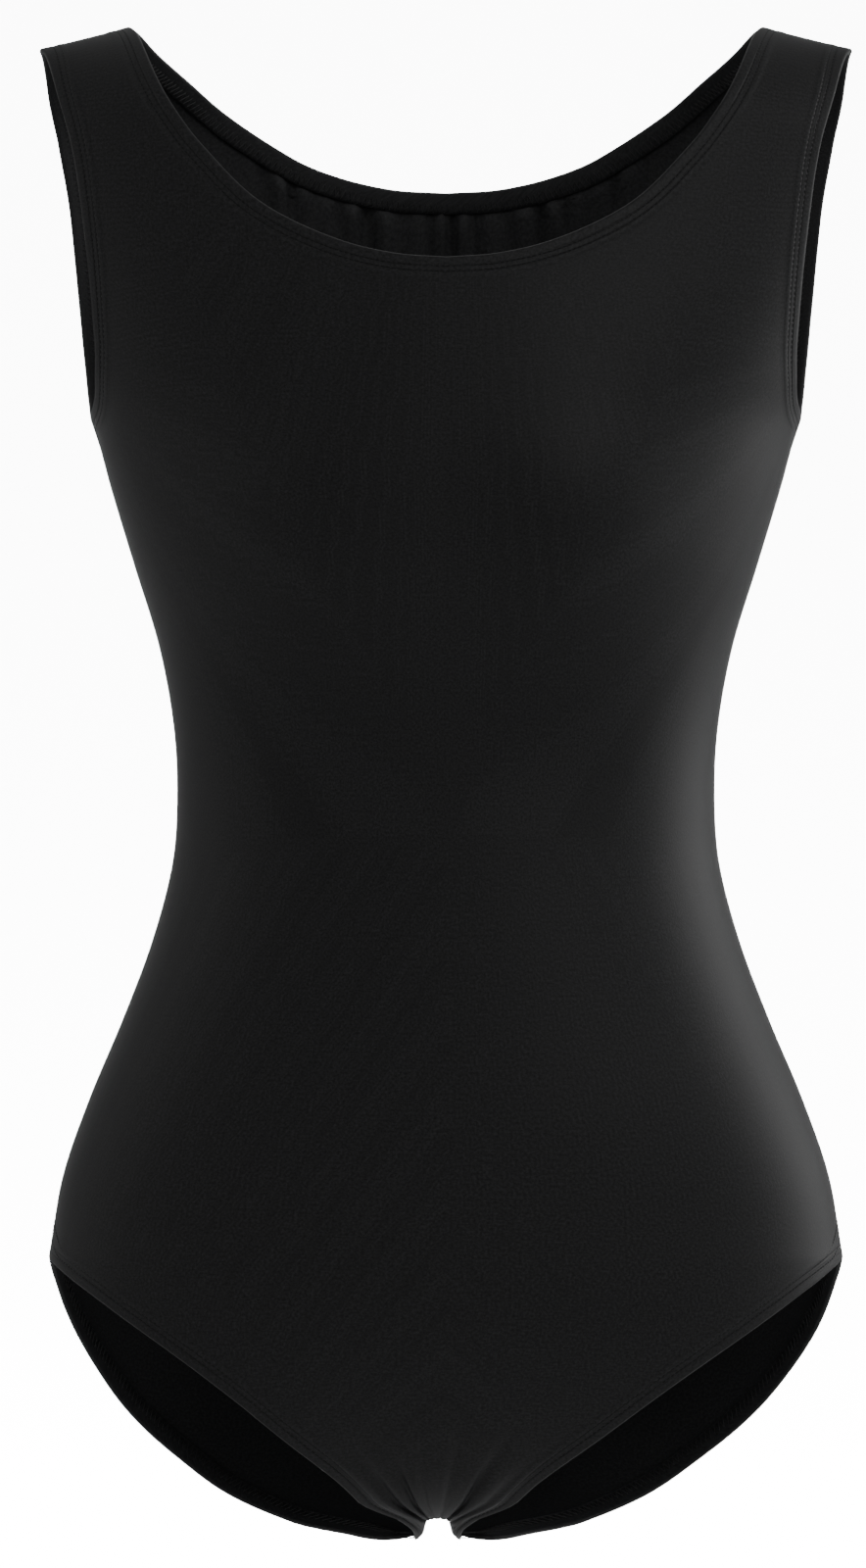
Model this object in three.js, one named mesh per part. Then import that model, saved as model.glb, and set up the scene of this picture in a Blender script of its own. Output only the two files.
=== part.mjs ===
import * as THREE from "three";

// Sleeveless gymnastics leotard, adult small, in its worn shape.
// Millimetres, +Z up, the front faces -Y, the middle of the shoulder line is the origin.
// Every cloth piece lies on one smooth body surface and is set off from it along its normal.

// Cloth, elastic and thread
const CLOTH = 0.8; // jersey thickness
const ELASTIC = 0.6; // elastic thickness
const LAYER_GAP = 0.8; // air between two stacked layers
const THREAD = 0.45; // thread width
const HEM = 8.5; // depth of the turned hem
const NEEDLES = [3.8, 6.3]; // twin needle rows, from the hem edge
const ELASTIC_BAND = [1.6, 7.8]; // elastic, from the hem edge
const SEAM_GAP = 0.5; // between two panels at a seam
const SEAM_WIDTH = 7; // overlocked seam allowance

// Overall size
const HEIGHT = 643.6; // lowest point to the middle of the shoulder line
const WIDTH = 340; // across the leg corners at the hips
const DEPTH = 210; // front to back at the hips

// Body form, drawn at these sizes and stretched to the overall ones
const DRAWN = { height: 643.6, width: 340, depth: 210 };
const SHOULDER_Z = DRAWN.height;
const HIP_Z = 122; // level of the leg corners at the side seams
const HIP_HALF = DRAWN.width / 2;
const UNDER_ROUND = 110; // radius that the lower part is measured along
const SHOULDER_ROUND = 45; // rounding over the shoulder
const SHOULDER_SLOPE = 0.2466; // fall of the shoulder line outwards
const STRAP = [137, 173.5]; // inner and outer end of the shoulder seam
const CROTCH_HALF = 25; // half width of the strip between the legs
const CROTCH_ANGLE = 100; // where the crotch seam lies, turning under from the front
const ROUND_START = SHOULDER_Z - SHOULDER_ROUND - HIP_Z;
const RIDGE = ROUND_START + (SHOULDER_ROUND * Math.PI) / 2;

const RAD = Math.PI / 180;

// Levels of the stacked layers under the outer cloth face
const ELASTIC_TOP = -CLOTH - LAYER_GAP;
const HEM_TOP = ELASTIC_TOP - ELASTIC - LAYER_GAP;
const HEM_BOTTOM = HEM_TOP - CLOTH;
const LOOPER_TOP = HEM_BOTTOM - 0.6;

// A smooth curve through [position, value] pairs, held level past both ends.
function curve(points) {
  const slope = points.map((p, i) => {
    const before = points[Math.max(i - 1, 0)];
    const after = points[Math.min(i + 1, points.length - 1)];
    return (after[1] - before[1]) / (after[0] - before[0]);
  });
  return (at) => {
    if (at <= points[0][0]) return points[0][1];
    const i = points.findIndex((p) => p[0] > at);
    if (i < 0) return points.at(-1)[1];
    const [x0, y0] = points[i - 1];
    const [x1, y1] = points[i];
    const step = x1 - x0;
    const t = (at - x0) / step;
    const rise = y1 - y0;
    const a = slope[i - 1] * step - rise;
    const b = rise - slope[i] * step;
    return y0 + rise * t + t * (1 - t) * (a * (1 - t) + b * t);
  };
}

// Half width and front and back depth against height over the hip level.
const halfWidth = curve([
  [0, HIP_HALF], [34, 164.4], [68, 152.7], [101, 138.8], [135, 126], [169, 117.2],
  [198, 115.3], [227, 116.8], [261, 123], [295, 133.4], [328, 143.4], [357, 151.6],
  [378, 161], [398, 168.5], [428, 177], [458, 183.5], [488, 188], [540, 190],
]);
const frontDepth = curve([
  [0, 96], [60, 96], [120, 91], [198, 84], [235, 86], [265, 94], [300, 105],
  [335, 110], [370, 107], [410, 99], [450, 88], [490, 76], [540, 64],
]);
const backDepth = curve([
  [0, 114], [50, 110], [100, 98], [150, 85], [198, 79], [240, 81], [300, 90],
  [360, 96], [410, 98], [450, 94], [490, 82], [540, 66],
]);
// How far the lower part hangs below the hip level, against the distance from the middle.
const drop = curve([
  [0, 108], [6, 112], [14, 120], [22, 122], [52, 127], [80, 130], [100, 130], [118, 126],
  [136, 117], [148, 104], [158, 85], [165, 60], [170, 40],
]);

const smooth = (t) => {
  const s = Math.min(Math.max(t, 0), 1);
  return s * s * (3 - 2 * s);
};
const hill = (x, z, x0, z0, wx, wz) => Math.exp(-(((x - x0) / wx) ** 2) - ((z - z0) / wz) ** 2);

// The height of surface line w at distance x from the middle.
function heightAt(x, w) {
  if (w < 0) return HIP_Z - drop(Math.abs(x)) * Math.sin(-w / UNDER_ROUND);
  const turn = (RIDGE - w) / SHOULDER_ROUND;
  const level =
    w < ROUND_START ? HIP_Z + w : SHOULDER_Z - SHOULDER_ROUND * (1 - Math.cos(turn));
  const lean = smooth((w - 418) / (ROUND_START - 418));
  const middle = (STRAP[0] + STRAP[1]) / 2;
  return level - lean * SHOULDER_SLOPE * (Math.abs(x) - middle);
}

// A point of the body surface: side -1 is the front and +1 the back, u turns from the
// middle (0) to the side seam (90 degrees), w runs from under the body up over the shoulder.
function body(side, u, w) {
  const x = halfWidth(Math.max(w, 0)) * Math.sin(u);
  const under = w < 0 ? Math.cos(-w / UNDER_ROUND) : 1;
  const over = w > ROUND_START ? Math.sin((RIDGE - w) / SHOULDER_ROUND) : 1;
  const facing = under < 0 ? -side : side;
  const depth = facing < 0 ? frontDepth(w) : backDepth(w);
  const z = heightAt(x, w);
  const bust = 9 * hill(Math.abs(x), z, 60, 430, 40, 46);
  const seat = 10 * hill(Math.abs(x), z, 72, 92, 44, 46);
  const full = facing < 0 ? bust : seat;
  const y = side * under * over * (depth * Math.cos(u) + full);
  const stretch = [WIDTH / DRAWN.width, DEPTH / DRAWN.depth, HEIGHT / DRAWN.height];
  return new THREE.Vector3(x, y, z).multiply(new THREE.Vector3(...stretch));
}

// The surface place [u, w] that shows at x, z from the front.
function locate([x, z]) {
  let low = (-UNDER_ROUND * Math.PI) / 2;
  let high = RIDGE - SEAM_GAP / 2;
  for (let i = 0; i < 50; i++) {
    const mid = (low + high) / 2;
    if (heightAt(x, mid) < z) low = mid;
    else high = mid;
  }
  return [Math.asin(Math.min(x / halfWidth(Math.max(low, 0)), 1)), low];
}

function slopes(side, u, w) {
  const du = body(side, u + 0.01, w).sub(body(side, u - 0.01, w)).divideScalar(0.02);
  const dw = body(side, u, w + 1).sub(body(side, u, w - 1)).divideScalar(2);
  return { du, dw, normal: du.clone().cross(dw).multiplyScalar(-side).normalize() };
}

// The surface point moved inward from an edge station by q and off the surface by n.
function onLayer(station, q, n) {
  const { side, u, w, inward } = station;
  const place = slopes(side, u, w);
  const uu = place.du.dot(place.du);
  const uw = place.du.dot(place.dw);
  const ww = place.dw.dot(place.dw);
  const pu = place.du.dot(inward) * q;
  const pw = place.dw.dot(inward) * q;
  const det = uu * ww - uw * uw;
  const u2 = u + (pu * ww - pw * uw) / det;
  const w2 = w + (pw * uu - pu * uw) / det;
  return body(side, u2, w2).addScaledVector(slopes(side, u2, w2).normal, n);
}

// A surface path through outline points, cut into steps along its length that are equal,
// or that shorten towards its end when crowd is over 1.
function path(side, points, steps, crowd = 1) {
  const knots = points.map((p) => {
    const [u, w] = p.place ?? locate(p);
    return new THREE.Vector3(u * 100, w, 0);
  });
  const line = new THREE.CatmullRomCurve3(knots, false, "centripetal");
  const fine = Array.from({ length: 401 }, (_, i) => line.getPoint(i / 400));
  const places = fine.map((p) => body(side, p.x / 100, p.y));
  const run = [0];
  for (let i = 1; i < places.length; i++) {
    run.push(run[i - 1] + places[i].distanceTo(places[i - 1]));
  }
  return Array.from({ length: steps + 1 }, (_, k) => {
    const want = run.at(-1) * (1 - (1 - k / steps) ** crowd);
    const i = Math.min(Math.max(run.findIndex((r) => r >= want - 1e-9), 1), 400);
    const t = (want - run[i - 1]) / (run[i] - run[i - 1]);
    const p = fine[i - 1].clone().lerp(fine[i], t);
    return [p.x / 100, p.y];
  });
}

// Outlines of the cut edges, as [x, z] from the middle and the lowest point.
const underEdge = (angle) => ({
  place: [Math.asin(CROTCH_HALF / HIP_HALF), -UNDER_ROUND * angle * RAD],
});
const middleAt = (w) => ({ place: [0, w] });
const sideSeam = (w, depth) => ({ place: [Math.PI / 2 - SEAM_GAP / 2 / depth, w] });
const RIDGE_IN = [STRAP[0], 650];
const RIDGE_OUT = [STRAP[1], 650];
const UNDERARM = 357;

const OUTLINE = {
  front: {
    side: -1,
    seamAngle: CROTCH_ANGLE - (SEAM_GAP / 2 / UNDER_ROUND / RAD),
    legStart: 67,
    leg: [[40, 22.5], [55, 34], [84, 56], [106, 72.5], [132, 91], [152, 106], [164, 116.5]],
    arm: [[150.6, 489], [150, 507], [151.5, 530], [154.6, 562], [160, 598], [167, 623]],
    neck: [[21, 551], [43, 555.8], [67, 565.5], [84, 576], [99, 590.5], [113, 607], [127, 631]],
    neckMiddle: 549,
    rows: [5, 14, 16, 5, 13],
  },
  back: {
    side: 1,
    seamAngle: 180 - CROTCH_ANGLE - (SEAM_GAP / 2 / UNDER_ROUND / RAD),
    legStart: 75,
    leg: [[52, 5], [75, 13], [104, 30], [125, 47], [141, 64], [153, 81], [162, 97], [167, 111]],
    arm: [[153.2, 487], [155, 501], [157.7, 526], [162, 568], [167, 599], [171, 620]],
    neck: [[24, 579.5], [48, 585], [67, 593], [92, 610], [112, 627], [130, 643]],
    neckMiddle: 577.5,
    rows: [1, 14, 16, 6, 12],
  },
};

// Rows of one half panel: each joins a place on the middle line or neck edge
// to a place on the leg edge, side seam or armhole edge.
function halfRows(shape) {
  const { side, rows } = shape;
  const seam = -UNDER_ROUND * shape.seamAngle * RAD;
  const strip = -UNDER_ROUND * shape.legStart * RAD;
  const neckStart = locate([0, shape.neckMiddle])[1];
  const arm = [sideSeam(UNDERARM, 100), ...shape.arm, RIDGE_OUT];
  const armSteps = path(side, arm, rows[3] + rows[4], 1.3);
  const inner = [
    path(side, [middleAt(seam), middleAt(strip * 1.04)], rows[0]),
    path(side, [middleAt(strip * 1.04), middleAt(24)], rows[1]),
    path(side, [middleAt(24), middleAt(335)], rows[2]),
    path(side, [middleAt(335), middleAt(neckStart)], rows[3]),
    path(side, [{ place: [0, neckStart] }, ...shape.neck, RIDGE_IN], rows[4], 1.3),
  ];
  const outer = [
    path(side, [underEdge(shape.seamAngle), underEdge(shape.legStart)], rows[0]),
    path(side, [underEdge(shape.legStart), ...shape.leg, sideSeam(0, 105)], rows[1]),
    path(side, [sideSeam(0, 105), sideSeam(UNDERARM, 100)], rows[2]),
    armSteps.slice(0, rows[3] + 1),
    armSteps.slice(rows[3]),
  ];
  const joined = (parts) => parts.flatMap((part, i) => (i ? part.slice(1) : part));
  return { inner: joined(inner), outer: joined(outer) };
}

// Edge stations: the surface place and the direction into the cloth. At both ends of an
// edge that direction runs along the seam, towards the places in ends.
function stations(side, places, other, ends) {
  return places.map(([u, w], i) => {
    const before = places[Math.max(i - 1, 0)];
    const after = places[Math.min(i + 1, places.length - 1)];
    const along = body(side, ...after).sub(body(side, ...before)).normalize();
    const { normal } = slopes(side, u, w);
    const seamEnd = i === 0 ? ends[0] : i === places.length - 1 ? ends[1] : null;
    const [u2, w2] = seamEnd ?? other[i];
    const towards = body(side, u + (u2 - u) * 0.1, w + (w2 - w) * 0.1).sub(body(side, u, w));
    if (seamEnd) return { side, u, w, inward: towards.projectOnPlane(normal).normalize() };
    const inward = normal.clone().cross(along).normalize();
    if (inward.dot(towards) < 0) inward.negate();
    return { side, u, w, inward };
  });
}

// The mirror of a station on the other half of the body.
const mirrored = (s) => ({
  ...s,
  u: -s.u,
  inward: s.inward.clone().multiply(new THREE.Vector3(-1, 1, 1)),
});

const COLUMNS = 12;

function planPanel(shape) {
  const { inner, outer } = halfRows(shape);
  const { side, rows } = shape;
  const hip = rows[0] + rows[1];
  const underarm = hip + rows[2];
  const neckRow = underarm + rows[3];
  const below = [0, inner[neckRow][1] - 20];
  const above = outer.map(([, w]) => [0, w + 20]);
  const neckEnds = [below, outer.at(-1)];
  const armEnds = [outer[underarm - 1], inner.at(-1)];
  const legEnds = [inner[0], outer[hip + 1]];
  return {
    side,
    inner,
    outer,
    neckRow,
    hip,
    underarm,
    neck: stations(side, inner.slice(neckRow), outer.slice(neckRow), neckEnds),
    arm: stations(side, outer.slice(underarm), inner.slice(underarm), armEnds),
    leg: stations(side, outer.slice(0, hip + 1), above.slice(0, hip + 1), legEnds),
  };
}
const PLAN = { front: planPanel(OUTLINE.front), back: planPanel(OUTLINE.back) };

// A closed solid from points and index triangles, turned so that its faces look outward.
function solid(points, faces) {
  const volume = faces.reduce((sum, [a, b, c]) => {
    return sum + points[a].dot(points[b].clone().cross(points[c]));
  }, 0);
  const flat = (volume < 0 ? faces.map(([a, b, c]) => [a, c, b]) : faces).flat();
  const positions = new Float32Array(flat.length * 3);
  flat.forEach((index, i) => points[index].toArray(positions, i * 3));
  const geometry = new THREE.BufferGeometry();
  geometry.setAttribute("position", new THREE.BufferAttribute(positions, 3));
  return geometry;
}

// A cloth panel: the outer face, the inner face and the edges between them.
// Hemmed edges turn under and come back as a second layer inside.
function panelGeometry(plan) {
  const { side, inner, outer } = plan;
  const points = [];
  const faces = [];
  const add = (p) => points.push(p) - 1;
  const quad = (a, b, c, d) => faces.push([a, b, c], [a, c, d]);
  const grids = [];
  for (const half of [1, -1]) {
    const grid = inner.map((start, k) =>
      Array.from({ length: COLUMNS + 1 }, (_, j) => {
        if (half < 0 && j === 0 && k <= plan.neckRow) return grids[0][k][0];
        const t = j / COLUMNS;
        const u = start[0] + (outer[k][0] - start[0]) * t;
        const w = start[1] + (outer[k][1] - start[1]) * t;
        const { normal } = slopes(side, half * u, w);
        const at = body(side, half * u, w);
        const hemmed =
          (j === 0 && k >= plan.neckRow) ||
          (j === COLUMNS && (k <= plan.hip || k >= plan.underarm));
        const inside = hemmed ? null : add(at.clone().addScaledVector(normal, -CLOTH));
        return { out: add(at), inside };
      }),
    );
    grids.push(grid);
  }
  const hemRun = (list, cells) => {
    const profile = [
      [0, HEM_BOTTOM], [HEM, HEM_BOTTOM], [HEM, HEM_TOP], [CLOTH, HEM_TOP], [CLOTH, -CLOTH],
    ];
    const rings = list.map((s, i) => {
      const ring = [cells[i].out, ...profile.map(([q, n]) => add(onLayer(s, q, n)))];
      cells[i].inside = ring.at(-1);
      return ring;
    });
    return rings;
  };
  const both = (list, cellsOf) => [1, -1].map((half, g) =>
    hemRun(half > 0 ? list : list.map(mirrored), cellsOf(grids[g])));
  const last = COLUMNS;
  const neckStations = [...plan.neck.slice(1).reverse().map(mirrored), ...plan.neck];
  const neckCells = [
    ...grids[1].slice(plan.neckRow + 1).reverse().map((row) => row[0]),
    ...grids[0].slice(plan.neckRow).map((row) => row[0]),
  ];
  const neckRings = hemRun(neckStations, neckCells);
  const armRings = both(plan.arm, (g) => g.slice(plan.underarm).map((row) => row[last]));
  const legRings = both(plan.leg, (g) => g.slice(0, plan.hip + 1).map((row) => row[last]));

  grids.forEach((grid, g) => {
    const flip = (g === 0) === (side < 0);
    const face = (a, b, c, d) => (flip ? quad(a, b, c, d) : quad(a, d, c, b));
    for (let k = 0; k + 1 < grid.length; k++) {
      for (let j = 0; j < last; j++) {
        const [a, b, c, d] = [grid[k][j], grid[k][j + 1], grid[k + 1][j + 1], grid[k + 1][j]];
        if (k < plan.hip) {
          face(b.out, c.out, d.out, a.out);
          face(b.inside, a.inside, d.inside, c.inside);
        } else {
          face(a.out, b.out, c.out, d.out);
          face(a.inside, d.inside, c.inside, b.inside);
        }
      }
    }
    const wall = (a, b) => face(a.inside, b.inside, b.out, a.out);
    for (let k = plan.hip; k < plan.underarm; k++) wall(grid[k][last], grid[k + 1][last]);
    for (let j = 0; j < last; j++) {
      wall(grid[0][j], grid[0][j + 1]);
      wall(grid.at(-1)[j + 1], grid.at(-1)[j]);
    }
    const turn = (rings, forward) => {
      for (let i = 0; i + 1 < rings.length; i++) {
        for (let m = 0; m < 5; m++) {
          const [a, b] = forward ? [rings[i], rings[i + 1]] : [rings[i + 1], rings[i]];
          face(a[m], a[m + 1], b[m + 1], b[m]);
        }
      }
      const cap = (r, inOrder) => {
        for (const [a, b, c] of [[0, 1, 4], [1, 2, 3], [1, 3, 4], [0, 4, 5]]) {
          faces.push(inOrder === flip ? [r[a], r[b], r[c]] : [r[a], r[c], r[b]]);
        }
      };
      cap(rings[0], !forward);
      cap(rings.at(-1), forward);
    };
    turn(armRings[g], true);
    turn(legRings[g], true);
    if (g === 0) turn(neckRings, false);
  });
  return solid(points, faces);
}

// A closed ring of one cross section carried along edge stations.
function ringGeometry(list, section) {
  const points = [];
  const faces = [];
  const size = section.length;
  for (const s of list) {
    for (const [q, n] of section) points.push(onLayer(s, q, n));
  }
  for (let i = 0; i < list.length; i++) {
    const here = i * size;
    const next = ((i + 1) % list.length) * size;
    for (let m = 0; m < size; m++) {
      const m2 = (m + 1) % size;
      faces.push([here + m, here + m2, next + m2], [here + m, next + m2, next + m]);
    }
  }
  return solid(points, faces);
}

// A patch of cloth inside the body between two levels, from rows of surface places.
function patchGeometry(side, rows, top, thickness) {
  const points = [];
  const faces = [];
  const columns = rows[0].length;
  for (const n of [top, top - thickness]) {
    for (const [u, w] of rows.flat()) {
      points.push(body(side, u, w).addScaledVector(slopes(side, u, w).normal, n));
    }
  }
  const under = rows.length * columns;
  const wall = (a, b) => faces.push([a, b, b + under], [a, b + under, a + under]);
  for (let k = 0; k + 1 < rows.length; k++) {
    for (let j = 0; j + 1 < columns; j++) {
      const a = k * columns + j;
      const [b, c, d] = [a + 1, a + columns + 1, a + columns];
      faces.push([a, c, b], [a, d, c]);
      faces.push([a + under, b + under, c + under], [a + under, c + under, d + under]);
    }
    wall((k + 1) * columns, k * columns);
    wall(k * columns + columns - 1, (k + 1) * columns + columns - 1);
  }
  for (let j = 0; j + 1 < columns; j++) {
    wall(j, j + 1);
    wall(under - columns + j + 1, under - columns + j);
  }
  return solid(points, faces);
}

// Evenly spaced values from one end to the other.
const between = (from, to, steps) =>
  Array.from({ length: steps + 1 }, (_, i) => from + ((to - from) * i) / steps);

// The five finished openings, each as one closed run of stations.
const OPENINGS = {
  neck: [
    ...PLAN.front.neck.slice(1).reverse().map(mirrored),
    ...PLAN.front.neck,
    ...PLAN.back.neck.slice().reverse(),
    ...PLAN.back.neck.slice(1).map(mirrored),
  ],
  armhole_left: [...PLAN.front.arm, ...PLAN.back.arm.slice().reverse()],
  leg_left: [...PLAN.front.leg.slice().reverse(), ...PLAN.back.leg].reverse(),
};
OPENINGS.armhole_right = OPENINGS.armhole_left.map(mirrored);
OPENINGS.leg_right = OPENINGS.leg_left.map(mirrored);

const JERSEY = new THREE.MeshStandardMaterial({ color: 0x1b1b1b, roughness: 0.55 });
const LINING = new THREE.MeshStandardMaterial({ color: 0x141414, roughness: 0.8 });
const RUBBER = new THREE.MeshStandardMaterial({ color: 0x262626, roughness: 0.7 });
const YARN = new THREE.MeshStandardMaterial({ color: 0x202020, roughness: 0.6 });

const leotard = new THREE.Group();
leotard.name = "leotard";
leotard.position.z = -HEIGHT;

function addNode(name, geometry, material) {
  const mesh = new THREE.Mesh(geometry, material);
  mesh.name = name;
  leotard.add(mesh);
}

addNode("front_panel", panelGeometry(PLAN.front), JERSEY);
addNode("back_panel", panelGeometry(PLAN.back), JERSEY);

const box = (q0, q1, n0, n1) => [[q0, n0], [q1, n0], [q1, n1], [q0, n1]];
for (const [name, list] of Object.entries(OPENINGS)) {
  const elastic = box(...ELASTIC_BAND, ELASTIC_TOP - ELASTIC, ELASTIC_TOP);
  addNode(`${name}_elastic`, ringGeometry(list, elastic), RUBBER);
  NEEDLES.forEach((q, i) => {
    const low = 0.85;
    const row = [[q - THREAD / 2, low], [q + THREAD / 2, low], [q, low + THREAD]];
    addNode(`${name}_needle_thread_${i + 1}`, ringGeometry(list, row), YARN);
  });
  const looper = box(NEEDLES[0], NEEDLES[1], LOOPER_TOP - 0.3, LOOPER_TOP);
  addNode(`${name}_looper_thread`, ringGeometry(list, looper), YARN);
}

// Overlocked seam allowances, folded flat inside the side, shoulder and crotch seams
const SEAM_THICK = 1;
const HEM_CLEAR = HEM + 1.5; // seams and lining stop short of the turned hems
const { outer, hip, underarm } = PLAN.front;
const seamHeights = [
  HEM_CLEAR + 5,
  ...outer.slice(hip + 1, underarm).map(([, w]) => w),
  UNDERARM - HEM_CLEAR,
];
const crossing = (half) => between(-SEAM_WIDTH / 2, SEAM_WIDTH / 2, 4).map((v) => v * half);
for (const [name, half] of [["left", 1], ["right", -1]]) {
  const sideRows = seamHeights.map((w) =>
    crossing(half).map((v) => [half * (Math.PI / 2) - v / frontDepth(w), w]),
  );
  addNode(`side_seam_${name}`, patchGeometry(-1, sideRows, ELASTIC_TOP, SEAM_THICK), YARN);
  const clear = (HEM_CLEAR * DRAWN.width) / WIDTH;
  const ends = [STRAP[0] + clear, STRAP[1] - clear].map((x) => Math.asin(x / halfWidth(RIDGE)));
  const shoulderRows = between(...ends, 3).map((u) => crossing(half).map((v) => [half * u, RIDGE + v]));
  addNode(`shoulder_seam_${name}`, patchGeometry(-1, shoulderRows, ELASTIC_TOP, SEAM_THICK), YARN);
}
const acrossStrip = (halfX) => between(-halfX, halfX, 12).map((x) => Math.asin(x / HIP_HALF));
const crotchRows = crossing(1).map((v) =>
  acrossStrip(CROTCH_HALF - HEM_CLEAR).map((u) => [u, -UNDER_ROUND * CROTCH_ANGLE * RAD + v]),
);
addNode("crotch_seam", patchGeometry(-1, crotchRows, ELASTIC_TOP, SEAM_THICK), YARN);

// The lining of the strip between the legs, as [angle under the body, half width].
const LINING_OUTLINE = curve([[47, 30], [60, 19], [68, 15], [97, CROTCH_HALF - HEM_CLEAR]]);
const liningRows = between(97, 47, 12).map((angle) =>
  acrossStrip(LINING_OUTLINE(angle)).map((u) => [u, -UNDER_ROUND * angle * RAD]),
);
addNode("crotch_lining", patchGeometry(-1, liningRows, ELASTIC_TOP, ELASTIC), LINING);

export default leotard;
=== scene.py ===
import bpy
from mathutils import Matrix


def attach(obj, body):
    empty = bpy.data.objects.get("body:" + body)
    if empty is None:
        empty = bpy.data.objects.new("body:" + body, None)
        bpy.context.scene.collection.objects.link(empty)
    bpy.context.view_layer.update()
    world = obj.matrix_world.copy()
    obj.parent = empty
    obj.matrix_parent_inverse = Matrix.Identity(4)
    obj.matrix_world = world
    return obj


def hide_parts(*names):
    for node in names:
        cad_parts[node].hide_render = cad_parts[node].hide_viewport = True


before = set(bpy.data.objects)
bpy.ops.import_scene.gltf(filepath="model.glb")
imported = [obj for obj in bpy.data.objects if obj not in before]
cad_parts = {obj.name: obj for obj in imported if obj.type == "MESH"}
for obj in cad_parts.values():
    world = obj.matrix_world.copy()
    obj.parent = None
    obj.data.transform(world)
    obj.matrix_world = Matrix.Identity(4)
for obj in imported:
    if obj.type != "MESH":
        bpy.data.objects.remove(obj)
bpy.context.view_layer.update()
import math
import bpy
import numpy as np
from mathutils import Matrix, Vector

bpy.ops.object.select_all(action="DESELECT")

# Camera: level with the middle of the garment and straight in front of it, far enough away
# that the front and back are seen at nearly the same size.
CAMERA_AWAY = 5.0
CAMERA_ASIDE = -0.0055
CAMERA_Z = -0.3194
SEEN_HEIGHT = 0.672
FILM = 36
bpy.ops.object.camera_add(
    location=(CAMERA_ASIDE, -CAMERA_AWAY, CAMERA_Z), rotation=(math.pi / 2, 0, 0)
)
camera = bpy.context.object
camera.data.sensor_width = FILM
camera.data.lens = FILM * CAMERA_AWAY / SEEN_HEIGHT
camera.data.clip_end = 80
bpy.context.scene.camera = camera

# Front and back panels: one piece of matte satin stretch jersey each, stretched over a body
# form worked in mm from its lowest point, and joined at the sides, shoulders and crotch. Every
# free edge is turned inside over its elastic and sewn down 8.5 mm deep.
SHOULDER_Z = 643.6
HIP_Z = 122
HIP_HALF = 170
UNDER_ROUND = 110
SHOULDER_ROUND = 45
SHOULDER_SLOPE = 0.2466
SLOPE_START = 418
STRAP = (137, 173.5)
CROTCH_HALF = 25
CROTCH_ANGLE = math.radians(100)
UNDERARM = 357
ROUND_START = SHOULDER_Z - SHOULDER_ROUND - HIP_Z
RIDGE = ROUND_START + SHOULDER_ROUND * math.pi / 2
BUST = dict(out=9, x0=60, z0=430, wide=40, tall=46)
SEAT = dict(out=10, x0=72, z0=92, wide=44, tall=46)


def curve(points):
    at, value = np.array(points, float).T
    slope = np.empty(len(at))
    slope[1:-1] = (value[2:] - value[:-2]) / (at[2:] - at[:-2])
    slope[0] = (value[1] - value[0]) / (at[1] - at[0])
    slope[-1] = (value[-1] - value[-2]) / (at[-1] - at[-2])

    def read(x):
        x = np.clip(np.asarray(x, float), at[0], at[-1])
        i = np.clip(np.searchsorted(at, x, side="right"), 1, len(at) - 1)
        step = at[i] - at[i - 1]
        rise = value[i] - value[i - 1]
        t = (x - at[i - 1]) / step
        a = slope[i - 1] * step - rise
        b = rise - slope[i] * step
        return value[i - 1] + rise * t + t * (1 - t) * (a * (1 - t) + b * t)

    return read


half_width = curve([
    (0, HIP_HALF), (34, 164.4), (68, 152.7), (101, 138.8), (135, 126), (169, 117.2),
    (198, 115.3), (227, 116.8), (261, 123), (295, 133.4), (328, 143.4), (357, 151.6),
    (378, 161), (398, 168.5), (428, 177), (458, 183.5), (488, 188), (540, 190),
])
front_depth = curve([
    (0, 96), (60, 96), (120, 91), (198, 84), (235, 86), (265, 94), (300, 105),
    (335, 110), (370, 107), (410, 99), (450, 88), (490, 76), (540, 64),
])
back_depth = curve([
    (0, 114), (50, 110), (100, 98), (150, 85), (198, 79), (240, 81), (300, 90),
    (360, 96), (410, 98), (450, 94), (490, 82), (540, 66),
])
drop = curve([
    (0, 121.8), (26, 122.4), (40, 123.2), (52, 125.5), (80, 129), (100, 130), (118, 126),
    (136, 117), (148, 104), (158, 85), (165, 60), (170, 40),
])
notch = curve([
    (0, 10.6), (5, 10.2), (9, 9.2), (13, 6.4), (17, 3.4), (21, 1.7), (26, 0.8), (35, 0.2), (48, 0),
])
NOTCH_SHORTNESS = 10


def smooth(t):
    s = np.clip(t, 0, 1)
    return s * s * (3 - 2 * s)


def hill(x, z, out, x0, z0, wide, tall):
    return out * np.exp(-(((x - x0) / wide) ** 2) - ((z - z0) / tall) ** 2)


def height_at(x, w):
    turned = np.sin(-w / UNDER_ROUND)
    pinched = notch(np.abs(x)) * turned**NOTCH_SHORTNESS
    under = HIP_Z - drop(np.abs(x)) * turned + pinched
    rounded = SHOULDER_Z - SHOULDER_ROUND * (1 - np.cos((RIDGE - w) / SHOULDER_ROUND))
    level = np.where(w < ROUND_START, HIP_Z + w, rounded)
    lean = smooth((w - SLOPE_START) / (ROUND_START - SLOPE_START))
    over = level - lean * SHOULDER_SLOPE * (np.abs(x) - sum(STRAP) / 2)
    return np.where(w < 0, under, over)


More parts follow.
